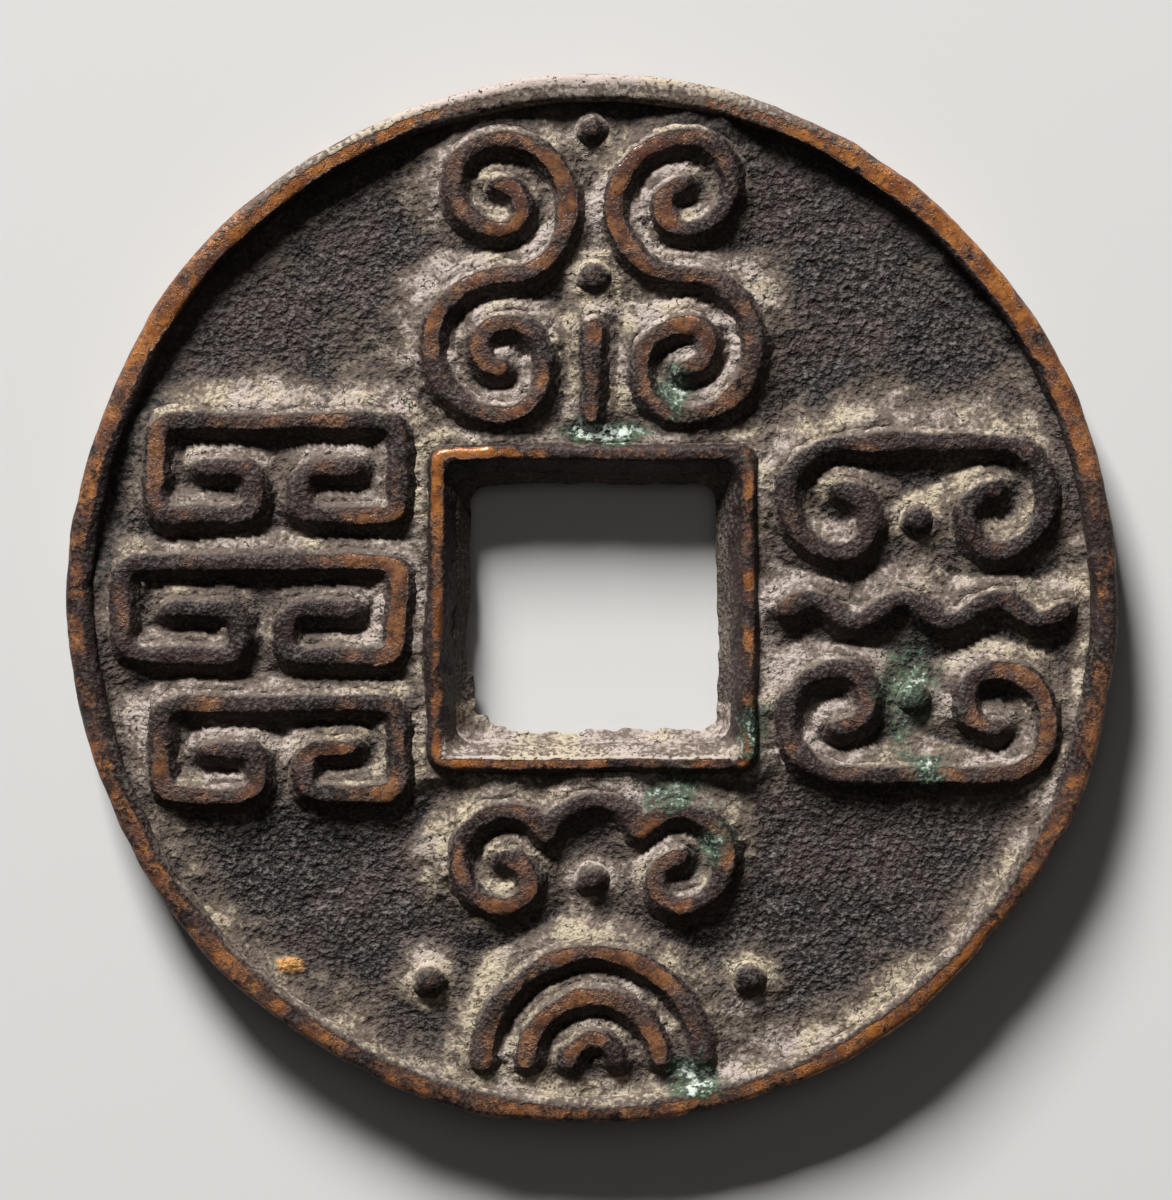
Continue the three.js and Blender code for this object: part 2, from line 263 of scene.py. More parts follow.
def normals_of(points, faces):
    """Unit normals at the points of a mesh of quads."""
    across = points[faces[:, 2]] - points[faces[:, 0]]
    other = points[faces[:, 3]] - points[faces[:, 1]]
    face_normals = np.cross(across, other)
    total = np.zeros_like(points)
    for i in range(4):
        np.add.at(total, faces[:, i], face_normals)
    return total / np.maximum(np.linalg.norm(total, axis=1), 1e-12)[:, None]


def remeshed(node, voxel, easing, sink):
    """The points and faces of a CAD node as an even mesh of small quads with its corners eased. Its
    foot goes on down into the flan by a depth, so that the eased corner is hidden there."""
    mesh = frame["nodes"][node].data.copy()
    mesh.transform(Matrix.Scale(1 / MM, 4))
    for vertex in mesh.vertices:
        if vertex.co.z < FACE_FIELD + 0.01:
            vertex.co.z -= sink
    copy = bpy.data.objects.new(node + "_copy", mesh)
    bpy.context.scene.collection.objects.link(copy)
    remesh = copy.modifiers.new("even", "REMESH")
    remesh.mode = "VOXEL"
    remesh.voxel_size = voxel
    smooth = copy.modifiers.new("ease", "SMOOTH")
    smooth.factor = 0.5
    smooth.iterations = easing
    result = bpy.data.meshes.new_from_object(copy.evaluated_get(bpy.context.evaluated_depsgraph_get()))
    points = np.empty(len(result.vertices) * 3)
    result.vertices.foreach_get("co", points)
    faces = np.empty(len(result.loops), int)
    result.loops.foreach_get("vertex_index", faces)
    bpy.data.objects.remove(copy)
    bpy.data.meshes.remove(mesh)
    bpy.data.meshes.remove(result)
    return points.reshape(-1, 3), faces.reshape(-1, 4)


# Verdigris spots: middle, reach along X and Y, and strength
GREEN_SPOTS = (
    (0.3, 7.2, 2.3, 0.75, 1.35),
    (3.5, 9.0, 1.6, 2.0, 0.75),
    (13.4, -4.2, 1.9, 3.6, 0.72),
    (14.4, -7.2, 1.6, 1.1, 0.75),
    (6.8, -5.4, 0.9, 2.2, 0.75),
    (3.6, -8.2, 2.4, 1.2, 0.85),
    (4.3, -20.3, 1.7, 1.3, 1.05),
    (5.3, -10.4, 1.3, 1.5, 0.75),
)


def green_at(points):
    """How far a point lies in a verdigris spot, with a ragged edge, from 0 to 1.35."""
    ragged = 0.45 * rough(points, 1.1, 301)
    most = np.zeros(len(points))
    for x, y, reach_x, reach_y, strength in GREEN_SPOTS:
        apart = np.hypot((points[:, 0] - x) / reach_x, (points[:, 1] - y) / reach_y)
        most = np.maximum(most, strength * smoothstep(1.1, 0.2, apart + ragged))
    return most


def rim_soil(points):
    """How much soil lies along the outer rim: most at the two sides and at the bottom, and little at
    the top, which is partly painted shade, left dark where the rim's shadow falls."""
    angle = np.arctan2(points[:, 1], points[:, 0])
    sides = np.cos(angle) ** 2
    lower = np.clip(-np.sin(angle), 0, 1)
    level = 0.12 + 0.72 * sides + 0.75 * lower - 0.95 * sides * lower
    return np.clip(level + 0.3 * noise(points, 3.0, 71), 0, 1)


def made(node, points, faces, material, slot, **fields):
    """Makes the piece that stands for a CAD node, with its fields of wear and soil."""
    mesh = bpy.data.meshes.new(node + "_cast")
    mesh.from_pydata((kept_inside(points) * MM).tolist(), [], faces.tolist())
    mesh.polygons.foreach_set("use_smooth", np.ones(len(mesh.polygons), bool))
    fields["green"] = green_at(points)
    for name, values in fields.items():
        field = mesh.attributes.new(name, "FLOAT", "POINT")
        field.data.foreach_set("value", values.astype(np.float32))
    mesh.materials.append(material)
    mesh.update()
    piece = bpy.data.objects.new(node + "_cast", mesh)
    bpy.context.scene.collection.objects.link(piece)
    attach(piece, "root")
    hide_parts(node)


class Nodes:
    """A new material and short calls that add nodes to it."""

    def __init__(self, name):
        self.material = bpy.data.materials.new(name)
        self.material.use_nodes = True
        self.tree = self.material.node_tree
        self.tree.nodes.clear()
        self.place = self.add("ShaderNodeTexCoord").outputs["Object"]

    def add(self, kind, inputs=(), **settings):
        node = self.tree.nodes.new(kind)
        for key, value in settings.items():
            setattr(node, key, value)
        for key, value in dict(inputs).items():
            if isinstance(value, bpy.types.NodeSocket):
                self.tree.links.new(value, node.inputs[key])
            else:
                node.inputs[key].default_value = value
        return node

    def texture(self, kind, size_mm, inputs=(), **settings):
        """The outputs of a texture whose swellings or cells have a size in millimetres."""
        inputs = {"Vector": self.place, "Scale": 1 / (size_mm * MM), **dict(inputs)}
        return self.add(kind, inputs, **settings).outputs

    def grain(self, size_mm, detail=3.0, roughness=0.6):
        """Noise from 0 to 1 with swellings of a size in millimetres."""
        inputs = {"Detail": detail, "Roughness": roughness}
        return self.texture("ShaderNodeTexNoise", size_mm, inputs)["Fac"]

    def cells(self, size_mm):
        """Distance from the middle of the nearest of many scattered grains."""
        return self.texture("ShaderNodeTexVoronoi", size_mm, feature="F1")["Distance"]

    def cracks(self, size_mm):
        """Distance from the nearest border between patches of a size in millimetres."""
        swirl = self.texture("ShaderNodeTexNoise", size_mm / 2)["Color"]
        shift = self.add("ShaderNodeVectorMath", {0: swirl, "Scale": size_mm * MM}, operation="SCALE")
        place = self.add("ShaderNodeVectorMath", {0: self.place, 1: shift.outputs[0]}, operation="ADD")
        inputs = {"Vector": place.outputs[0]}
        return self.texture("ShaderNodeTexVoronoi", size_mm, inputs, feature="DISTANCE_TO_EDGE")["Distance"]

    def field(self, name):
        return self.add("ShaderNodeAttribute", attribute_name=name).outputs["Fac"]

    def math(self, operation, first, second):
        return self.add("ShaderNodeMath", {0: first, 1: second}, operation=operation).outputs[0]

    def plus(self, first, second):
        return self.math("ADD", first, second)

    def minus(self, first, second):
        return self.math("SUBTRACT", first, second)

    def times(self, first, second):
        return self.math("MULTIPLY", first, second)

    def larger(self, first, second):
        return self.math("MAXIMUM", first, second)

    def between(self, value, low, high, least=0.0, most=1.0):
        """A value as a smooth share of the way from low to high."""
        inputs = {"Value": value, "From Min": low, "From Max": high, "To Min": least, "To Max": most}
        return self.add("ShaderNodeMapRange", inputs, interpolation_type="SMOOTHSTEP").outputs["Result"]

    def colour(self, share, first, second):
        inputs = {0: share, 6: first, 7: second}
        return self.add("ShaderNodeMix", inputs, data_type="RGBA").outputs[2]

    def number(self, share, first, second):
        return self.add("ShaderNodeMix", {0: share, 2: first, 3: second}, data_type="FLOAT").outputs[0]

    def finished(self, inputs):
        """The material, once a surface with these inputs is its output."""
        shader = self.add("ShaderNodeBsdfPrincipled", inputs)
        output = self.add("ShaderNodeOutputMaterial")
        self.tree.links.new(shader.outputs["BSDF"], output.inputs["Surface"])
        return self.material


DARK = (0.020, 0.016, 0.016, 1)
BROWN = (0.050, 0.034, 0.030, 1)
WARM_DARK = (0.018, 0.011, 0.010, 1)
WARM_BROWN = (0.042, 0.025, 0.021, 1)
DUSTY = (0.185, 0.152, 0.138, 1)
COPPER = (0.51, 0.188, 0.042, 1)
REDDISH = (0.22, 0.066, 0.019, 1)
DULL_COPPER = (0.33, 0.145, 0.062, 1)
DULL_RED = (0.115, 0.048, 0.031, 1)
LIGHT_DUST = (0.128, 0.099, 0.080, 1)
FLAKE = (0.70, 0.36, 0.12, 1)
TAN_SOIL = (0.49, 0.41, 0.295, 1)
PINK_SOIL = (0.46, 0.38, 0.34, 1)
DARK_SOIL = (0.13, 0.095, 0.068, 1)
CRACK = (0.045, 0.033, 0.026, 1)
GREEN = (0.030, 0.055, 0.036, 1)
LEAF_GREEN = (0.095, 0.165, 0.095, 1)
PALE_GREEN = (0.56, 0.62, 0.54, 1)


def patina(name, dust, grain, bump, caked, breakup, darkest, brown, bright, dull):
    """Bronze under its patina. dust is how much of it shows pale grains, grain the size of the
    sand grains in millimetres, bump how far they stand out, caked what share of that is left
    where soil lies, and breakup how much fine noise frays the rubbed metal. The patina runs
    between the darkest and the brown colour, and the rubbed metal between the bright and the
    dull one."""
    n = Nodes(name)
    # The handled field holds real handling, and on the face the painted shade inside the rim; the soil
    # field holds soil together with painted light and shade
    handled = n.field("handled")
    soil_and_light_field = n.field("soil")
    wide = n.grain(3.5)
    medium = n.grain(0.8)
    fine = n.grain(0.2, 4.0, 0.7)
    sand = n.grain(grain, 2.0, 0.55)
    pebbles = n.minus(1.0, n.math("POWER", n.cells(grain), 2.0))
    grains = n.plus(n.times(sand, 0.78), n.times(pebbles, 0.2))

    # The patina, with dust on the tips of its grains and in specks
    colour = n.colour(n.between(wide, 0.4, 0.6), darkest, brown)
    tips = n.times(n.between(grains, 0.5, 0.66), n.between(medium, 0.38, 0.62, 0.2, 1.1))
    # Fewer pale grain tips where handled and where the painted rim shade lies
    tips = n.times(tips, n.between(handled, 0.0, 1.0, 1.0, 0.25))
    colour = n.colour(n.times(tips, dust), colour, DUSTY)
    specks = n.between(n.grain(0.13, 1.0, 0.5), 0.56, 0.68, 0.0, 0.5)
    colour = n.colour(n.times(specks, dust), colour, LIGHT_DUST)

    # Metal rubbed bare, frayed at its edges and crossed by dark veins
    rubbed = n.plus(n.field("rub"), n.times(n.minus(fine, 0.5), breakup))
    rubbed = n.between(rubbed, 0.2, 0.85)
    copper = n.colour(n.between(medium, 0.36, 0.64), bright, dull)
    veins = n.times(n.between(n.cracks(0.6), 0.05, 0.015), n.between(fine, 0.4, 0.55, 0.0, 0.8))
    copper = n.colour(veins, copper, CRACK)
    colour = n.colour(rubbed, colour, copper)

    # Soil as a thin dusting, and as packed earth with cracks and pores, more tan low on the face. With
    # the soil come its painted lit sides and highlights, and its painted shade where it is thinned
    uneven = n.plus(n.times(grains, 0.9), n.times(fine, 0.7))
    soil = n.plus(soil_and_light_field, n.minus(uneven, 0.8))
    dusted_and_painted_light = n.between(soil, 0.15, 0.55)
    soiled = n.between(soil, 0.4, 0.9)
    colour = n.colour(dusted_and_painted_light, colour, LIGHT_DUST)
    packed = n.plus(uneven, n.times(n.minus(medium, 0.5), 1.2))
    packed = n.plus(packed, n.times(n.minus(soil_and_light_field, 0.85), 0.8))
    along_y = n.add("ShaderNodeSeparateXYZ", {"Vector": n.place}).outputs["Y"]
    pinkness = n.minus(wide, n.between(along_y, -7 * MM, -12 * MM, 0.0, 0.1))
    earth = n.colour(n.between(pinkness, 0.40, 0.54), TAN_SOIL, PINK_SOIL)
    earth = n.colour(n.between(packed, 0.42, 0.95), DARK_SOIL, earth)
    cracked = n.times(n.between(n.cracks(1.1), 0.035, 0.012), n.between(medium, 0.5, 0.6))
    pores = n.between(n.grain(0.2, 2.0, 0.5), 0.38, 0.31)
    earth = n.colour(n.larger(cracked, pores), earth, CRACK)
    colour = n.colour(soiled, colour, earth)

    # Verdigris as a dark tint, with leaf green flecks and a pale crust where it is thickest
    ragged = n.plus(n.minus(fine, 0.5), n.minus(medium, 0.5))
    greened = n.plus(n.field("green"), n.times(ragged, 1.5))
    tinted = n.between(greened, 0.15, 0.9, 0.0, 0.85)
    colour = n.colour(tinted, colour, GREEN)
    flecks = n.times(n.between(greened, 0.3, 0.8), n.between(grains, 0.48, 0.68))
    colour = n.colour(flecks, colour, LEAF_GREEN)
    crusted = n.times(n.between(greened, 0.75, 1.25), n.between(grains, 0.42, 0.55))
    colour = n.colour(crusted, colour, PALE_GREEN)

    colour = n.colour(n.field("flake"), colour, FLAKE)

    # Rubbed metal shines a little, and soil and verdigris are matt
    crust = n.larger(dusted_and_painted_light, tinted)
    clean = n.minus(1.0, crust)
    metal = n.times(clean, n.number(rubbed, 0.1, 0.2))
    gloss = n.number(rubbed, n.between(medium, 0.3, 0.7, 0.5, 0.66), 0.3)
    gloss = n.number(crust, gloss, 0.92)

    # The grains stand out least where the metal is rubbed, handled, under the painted rim shade or caked
    # with soil
    height = n.plus(n.times(fine, 0.25), grains)
    height = n.times(height, n.between(n.times(rubbed, clean), 0.0, 1.0, 1.0, 0.35))
    height = n.times(height, n.between(soiled, 0.0, 1.0, 1.0, caked))
    height = n.times(height, n.between(handled, 0.0, 1.0, 1.0, 0.4))
    relief = n.add("ShaderNodeBump", {"Height": height, "Distance": bump * MM, "Strength": 1.0})
    return n.finished({
        "Base Color": colour,
        "Metallic": metal,
        "Roughness": gloss,
        "Specular IOR Level": n.number(rubbed, 0.3, 0.7),
        "Normal": relief.outputs["Normal"],
    })


FIELD = patina(
    "field_patina", dust=0.9, grain=0.23, bump=0.26, caked=0.8, breakup=0.9,
    darkest=DARK, brown=BROWN, bright=COPPER, dull=REDDISH,
)
RIM = patina(
    "worn_rim", dust=0.2, grain=0.2, bump=0.09, caked=0.7, breakup=1.6,
    darkest=WARM_DARK, brown=WARM_BROWN, bright=COPPER, dull=REDDISH,
)
LINES = patina(
    "relief_patina", dust=0.55, grain=0.18, bump=0.11, caked=0.5, breakup=1.4,
    darkest=WARM_DARK, brown=WARM_BROWN, bright=DULL_COPPER, dull=DULL_RED,
)


# Where handling has rubbed the relief more or less than elsewhere: middle, reach and amount
HANDLED = ((0, 17.5, 5, 0.45), (-14, 0, 6, -0.5), (-8.5, 1, 3, 0.6), (13, 2, 7, -0.4), (0, -17, 5, 0.2))

# Where more or less soil has stayed in the relief than elsewhere: middle, reach and amount
SOILED = ((0, 13, 7, 0.17), (-13.5, 1, 5.5, -0.42), (13.5, 0, 6, -0.1), (0, -15, 6, -0.1))


def spread(points, spots):
    """The sum of some round spots, each strongest at its middle."""
    total = np.zeros(len(points))
    for x, y, reach, amount in spots:
        total += amount * bell(np.hypot(points[:, 0] - x, points[:, 1] - y), reach)
    return total


def handling(points):
    return spread(points, HANDLED) - 0.05


def soiling(points):
    return 1 + spread(points, SOILED)


def relief_piece(node):
    """A raised line or pearl of the ornament: round backed, with a foot that flares into the field,
    swollen, pitted and worn on its crown."""
    pearl = "pearl" in node
    points, faces = remeshed(node, LINE_VOXEL, PEARL_EASING if pearl else LINE_EASING, LINE_SINK)

    # The height that the easing took is given back
    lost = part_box(node)[1].z / MM - points[:, 2].max()
    points[:, 2] += lost * np.clip((points[:, 2] - FACE_FIELD) / LINE_HEIGHT, 0, 1)

    normals = normals_of(points, faces)
    swell = 0.05 + 0.09 * noise(points, 1.4, 51) + 0.08 * rough(points, 0.55, 52)
    points += normals * (1, 1, 0.4) * swell[:, None]
    outward = normals[:, :2] / np.maximum(np.hypot(normals[:, 0], normals[:, 1]), 0.3)[:, None]
    flare = (0.08 if pearl else 0.4) + 0.08 * rough(points, 0.9, 53)
    flare = flare * smoothstep(2.6, 1.85, points[:, 2]) - (0 if pearl else 0.02)
    points[:, :2] += outward * flare[:, None]
    points = warped(points)

    limit = WORN_LEVEL + 0.08 * noise(points, 2.6, 61) + 0.03 * noise(points, 0.6, 62)
    worn = smoothstep(-0.17, 0.02, points[:, 2] - limit)
    points[:, 2] = softmin(points[:, 2], limit, 0.1)
    patches = smoothstep(-0.4, 0.5, rough(points, 2.4, 63, 4) + handling(points))
    rub = worn * (0.15 + 0.9 * patches)

    # Pale soil colour is painted on the slopes and shoulders that face the light, as a painted lit side,
    # and kept thin on the slopes away from it, as painted shade
    facing = normals[:, :2] @ TO_LIGHT
    low = smoothstep(2.62, 2.1, points[:, 2]) * (0.3 + 0.7 * smoothstep(-0.35, 0.35, facing))
    painted_lit_shoulder = 0.7 * smoothstep(0.3, 0.85, facing)
    soil = np.maximum(low, painted_lit_shoulder) * (0.95 + 0.4 * rough(points, 1.0, 64)) * soiling(points)
    made(node, points, faces, LINES, "relief_patina", rub=rub, soil=soil)
    return points, faces


def nicked(points, seed):
    """Small dents along a rim, as depths at the points."""
    rng = np.random.default_rng(seed)
    depth = np.zeros(len(points))
    centres = rng.choice(len(points), NICK_COUNT)
    for centre in points[centres]:
        size = rng.uniform(0.12, 0.45)
        apart = np.linalg.norm(points - centre, axis=1)
        depth += NICK_DEPTH * rng.uniform(0.4, 1.0) * bell(apart, size)
    return depth


def rim_piece(section, path, around, seed):
    """A rim round the coin or round the hole, from its section and the path of each offset, and how
    deeply it is nicked."""
    grid = np.stack([at_level(path(offset, around), z) for offset, z in section])
    points = grid.reshape(-1, 3)
    faces = grid_faces(len(section), around)
    if np.sum(normals_of(points, faces) * (points - points.mean(axis=0))) < 0:
        faces = faces[:, ::-1]
    outward = normals_of(points, faces)
    nicks = nicked(points, seed)
    swell = 0.035 * rough(points, 1.3, seed) + 0.015 * rough(points, 0.4, seed + 5) - nicks
    points = warped(points + outward * swell[:, None])
    return points, faces, nicks


def rubbed_bare(bare, tone, nicks):
    """How far a rim shows its metal: where it is bare, by the tone of the wear, but not in nicks."""
    return bare * np.clip(tone - 9 * np.clip(nicks, 0, None), 0, 1)


# How far the outer rim is rubbed bare, how wide the bare strip is in millimetres and how far soil
# is caked on its inner slope, by the angle round it in degrees. The low tone at the right, 0°, on the
# side away from the light, is partly painted shade.
RIM_ANGLES = (0, 45, 80, 120, 150, 180, 225, 270, 315, 360)
RIM_TONE = (0.3, 0.95, 0.5, 0.75, 0.6, 0.4, 0.45, 0.45, 0.75, 0.3)
RIM_STRIP = (1.0, 1.05, 1.05, 1.0, 0.95, 0.8, 1.0, 0.85, 0.85, 1.0)
RIM_CAKED = (0.15, 0.0, 0.0, 0.0, 0.0, 0.0, 0.8, 0.85, 0.9, 0.15)


def outer_rim(node, foot, width, face, field, seed):
    """The rim round the coin. Its metal shows in a strip along its top, soil lies on its inner slope,
    and on the face its uppermost part is paler, with a painted highlight along its outer edge on the
    side of the light."""
    out = np.sign(face - field)
    tall = abs(face - field)
    inner = RADIUS - width
    deep = field - RIM_SINK * out
    section = smoothed_section([
        (foot - 0.35, field - 0.1 * out),
        (foot, field + 0.12 * out),
        (inner - 0.1, field + 0.6 * (face - field)),
        (inner, face - 0.12 * out),
        (inner + 0.22, face - 0.01 * out),
        (RADIUS - 0.42, face - 0.01 * out),
        (RADIUS - 0.19, face - 0.1 * out),
        (RADIUS - 0.07, face - 0.36 * out),
        (EDGE, field + 0.05 * out),
        (EDGE - 0.02, field - 0.08 * out),
        (EDGE - 0.2, deep),
        (foot - 0.2, deep),
    ], ROUND_SECTION)
    points, faces, nicks = rim_piece(section, circle_path, RIM_AROUND, seed)
    angle = np.degrees(np.arctan2(points[:, 1], points[:, 0])) % 360
    reach = from_middle(points)
    strip = np.interp(angle, RIM_ANGLES, RIM_STRIP) + 0.1 * noise(points, 2.0, seed + 6)
    strip += 0.08 * rough(points, 0.6, seed + 7)
    beyond = RADIUS - reach - strip
    limit = tall - 0.03 + 0.025 * noise(points, 4.0, seed + 1) - 0.4 * np.clip(beyond, 0, None)
    height = softmin((points[:, 2] - field) * out, limit)
    points[:, 2] = field + out * height
    share = height / tall

    bare = smoothstep(0.45, 0.85, share) * smoothstep(0.12, -0.06, beyond)
    side = smoothstep(RADIUS - 0.35, RADIUS - 0.12, reach)
    tone = np.interp(angle, RIM_ANGLES, RIM_TONE) + 0.4 * rough(points, 1.8, seed + 2)
    tone += 0.35 * rough(points, 0.5, seed + 9)
    rub = rubbed_bare(np.maximum(bare, 0.7 * side), tone, nicks)

    slope = smoothstep(0.75, 0.2, share) * smoothstep(RADIUS - 0.5, RADIUS - 0.9, reach)
    slope *= 0.35 * rim_soil(points) + 0.25 * rough(points, 0.6, seed + 10)
    caked = np.interp(angle, RIM_ANGLES, RIM_CAKED) * smoothstep(-0.12, 0.3, beyond)
    caked *= 0.75 + 0.35 * rough(points, 0.9, seed + 11)
    upward = smoothstep(0.35, 0.7, share) * (out > 0)
    # Paler colour on the uppermost part of the face's rim
    dust = 0.85 * upward * bell(angle - 90, 18) * (0.8 + 0.3 * rough(points, 1.0, seed + 8))
    outermost = smoothstep(RADIUS - 0.58, RADIUS - 0.42, reach + 0.1 * rough(points, 0.7, seed + 12))
    # A painted highlight: a pale line along the outer edge on the side of the light, in place of the glint
    # of light on the rounded edge
    painted_edge_highlight = 1.3 * upward * bell(angle - 97, 30) * outermost
    soil = np.maximum.reduce([slope, caked, dust, painted_edge_highlight])
    made(node, points, faces, RIM, "worn_rim", rub=rub, soil=soil)


def square_rim(node, foot, face, field, seed):
    """The rim round the hole. Its metal shows in patches along its crest, and most at the upper left
    corner, and a thin pale line is painted along the inner arris of the face's lower side as a painted
    highlight."""
    out = np.sign(face - field)
    tall = abs(face - field)
    half = float(hole_half(face))
    half_low = float(hole_half(field))
    deep = field - RIM_SINK * out
    top_out = foot - SQUARE_SLOPE
    section = smoothed_section([
        (foot + 0.25, field - 0.1 * out),
        (foot, field + 0.12 * out),
        (top_out + 0.08, field + 0.6 * (face - field)),
        (top_out, face - 0.12 * out),
        (top_out - 0.16, face - 0.01 * out),
        (half + 0.18, face - 0.01 * out),
        (half, face - 0.16 * out),
        (half_low, field + 0.04 * out),
        (half_low + 0.03, field - 0.1 * out),
        (half_low + 0.2, deep),
        (foot, deep),
    ], SQUARE_SECTION)
    points, faces, nicks = rim_piece(section, square_path, SQUARE_AROUND, seed)
    limit = tall - 0.04 + 0.035 * noise(points, 3.0, seed + 1)
    height = softmin((points[:, 2] - field) * out, limit)
    points[:, 2] = field + out * height
    share = height / tall
    apart = points[:, :2] - HOLE_CENTRE
    across = from_square(points) - 0.5 * (top_out + half) + 0.05 * noise(points, 0.8, seed + 8)
    lower_side = smoothstep(5.2, 6.0, -apart[:, 1]) * (out > 0)

    bare = smoothstep(0.5, 0.85, share) * bell(across, 0.27, 4)
    sideways = np.abs(apart[:, 0]) - np.abs(apart[:, 1]) + 1.5 * rough(points, 2.5, seed + 4)
    tone = 0.4 + 0.15 * smoothstep(-1.5, 1.5, sideways) + 0.6 * rough(points, 1.3, seed + 2)
    tone += 0.35 * rough(points, 0.45, seed + 9)
    tone += 0.6 * bell(np.hypot(apart[:, 0] + 6, apart[:, 1] - 6), 2.5)
    tone += 0.25 * lower_side * smoothstep(2.0, -3.0, apart[:, 0])
    rub = rubbed_bare(bare, tone, nicks)

    slope = smoothstep(0.8, 0.2, share)
    wall = np.maximum(0.25 * slope, 0.75 * lower_side * smoothstep(-0.24, -0.34, across))
    soil = np.where(across > 0, 0.7 * slope, wall) * (0.9 + 0.3 * noise(points, 1.5, seed + 3))
    # A painted highlight: a pale line along the arris on the side that faces the light, in place of the
    # glint of light there
    painted_arris_highlight = 1.3 * lower_side * smoothstep(-0.34, -0.3, across) * smoothstep(-0.19, -0.24, across)
    soil = np.maximum(soil, painted_arris_highlight)
    made(node, points, faces, RIM, "worn_rim", rub=rub, soil=soil)


def nearest_pieces(points, pieces, furthest):
    """The distance from each point to the nearest of the pieces, up to a furthest one, and nothing
    for the points inside a piece. The second result is how far that piece's side faces the light."""
    all_points = []
    all_faces = []
    count = 0
    for piece_points, piece_faces in pieces:
        all_points.append(piece_points)
        all_faces.append(piece_faces + count)
        count += len(piece_points)
    tree = BVHTree.FromPolygons(np.vstack(all_points).tolist(), np.vstack(all_faces).tolist())
    found = np.full(len(points), furthest)
    facing = np.zeros(len(points))
    for i, place in enumerate(points.tolist()):
        near, normal, _, distance = tree.find_nearest(place, furthest)
        if near is not None:
            inside = normal.dot(Vector(place) - near) < 0
            found[i] = 0 if inside else distance
            facing[i] = normal.x * TO_LIGHT[0] + normal.y * TO_LIGHT[1]
    return found, facing


def lumps(points, seed, count, highest):
    """Casting pimples and pits scattered over a field, as heights at the points."""
    rng = np.random.default_rng(seed)
    height = np.zeros(len(points))
    for _ in range(count):
        angle = rng.uniform(0, 2 * np.pi)
        reach = np.sqrt(rng.uniform(LUMPS_FROM**2, LUMPS_TO**2))
        size = rng.uniform(0.16, 0.5)
        apart = np.hypot(points[:, 0] - reach * np.cos(angle), points[:, 1] - reach * np.sin(angle))
        height += rng.uniform(-0.7, 1.0) * highest * bell(apart, size)
    return height


def flan_grid():
    """The body of the casting as a grid of rows that run up the edge, over the face, down the hole
    and back along the back, and the name of that stretch for each point."""
    edge = circle_path(EDGE, FLAN_AROUND)
    edge_levels = [BACK_FIELD, BACK_FIELD + 0.03, 0.85, 1.05, 1.25, 1.5, FACE_FIELD - 0.03, FACE_FIELD]
    wall_levels = [
        FACE_FIELD, FACE_FIELD - 0.03, 1.5, 1.25, 1.1, 1.0, 0.94, 0.88, 0.82, 0.75, 0.63, BACK_FIELD,
    ]
    face_out = at_level(circle_path(FACE_RIM_FOOT + UNDER_RIM, FLAN_AROUND), FACE_FIELD)
    face_in = at_level(square_path(FACE_SQUARE_FOOT - UNDER_RIM, FLAN_AROUND), FACE_FIELD)
    back_in = at_level(square_path(BACK_SQUARE_FOOT - UNDER_RIM, FLAN_AROUND), BACK_FIELD)
    back_out = at_level(circle_path(BACK_RIM_FOOT + UNDER_RIM, FLAN_AROUND), BACK_FIELD)
    stretches = {
        "edge": [at_level(edge, z) for z in edge_levels],
        "face": np.linspace(face_out, face_in, FACE_ROWS + 1),
        "wall": [at_level(square_path(float(hole_half(z)), FLAN_AROUND), z) for z in wall_levels],
        "back": np.linspace(back_in, back_out, BACK_ROWS + 1),
    }
    rows = np.concatenate([np.stack(list(stretch)) for stretch in stretches.values()])
    points = rows.reshape(-1, 3)
    stretch_of = np.repeat(list(stretches), [len(stretch) * FLAN_AROUND for stretch in stretches.values()])
    faces = grid_faces(len(rows), FLAN_AROUND)
    if normals_of(points, faces)[stretch_of == "face"][:, 2].mean() < 0:
        faces = faces[:, ::-1]
    return points, faces, stretch_of


def fin_burr(points):
    """How far the ragged fin stands into the hole, most of all along the lower side and at the lower
    left corner, as a move of each point along X and Y."""
    apart = points[:, :2] - HOLE_CENTRE
    inward = -apart / np.maximum(np.abs(apart).max(axis=1), 1e-9)[:, None]
    at_fin = bell(points[:, 2] - FIN_LEVEL, 0.17)
    lower = smoothstep(2.0, -5.0, apart[:, 1]) * 0.8 + 0.2
    corner = bell(np.hypot(apart[:, 0] + 4.9, apart[:, 1] + 4.9), 1.3)
    burr = np.clip(noise(points, 0.75, 91) + 0.25, 0, 1) * 0.3 * lower + 0.35 * corner
    return inward * (at_fin * burr)[:, None]


# A bright flake on the field, at the lower left
FLAKE_CENTRE = (-12.9, -15.6)
FLAKE_REACH = (0.48, 0.3)
FLAKE_HEIGHT = 0.12


def flake_at(points):
    """How far a point lies on the bright flake, which has a ragged, crisp edge."""
    apart = np.abs(points[:, :2] - FLAKE_CENTRE) / FLAKE_REACH + 0.25 * noise(points, 0.4, 94)[:, None]
    return smoothstep(0.3, 0.6, np.exp(-(apart[:, 0] ** 4 + apart[:, 1] ** 4)))


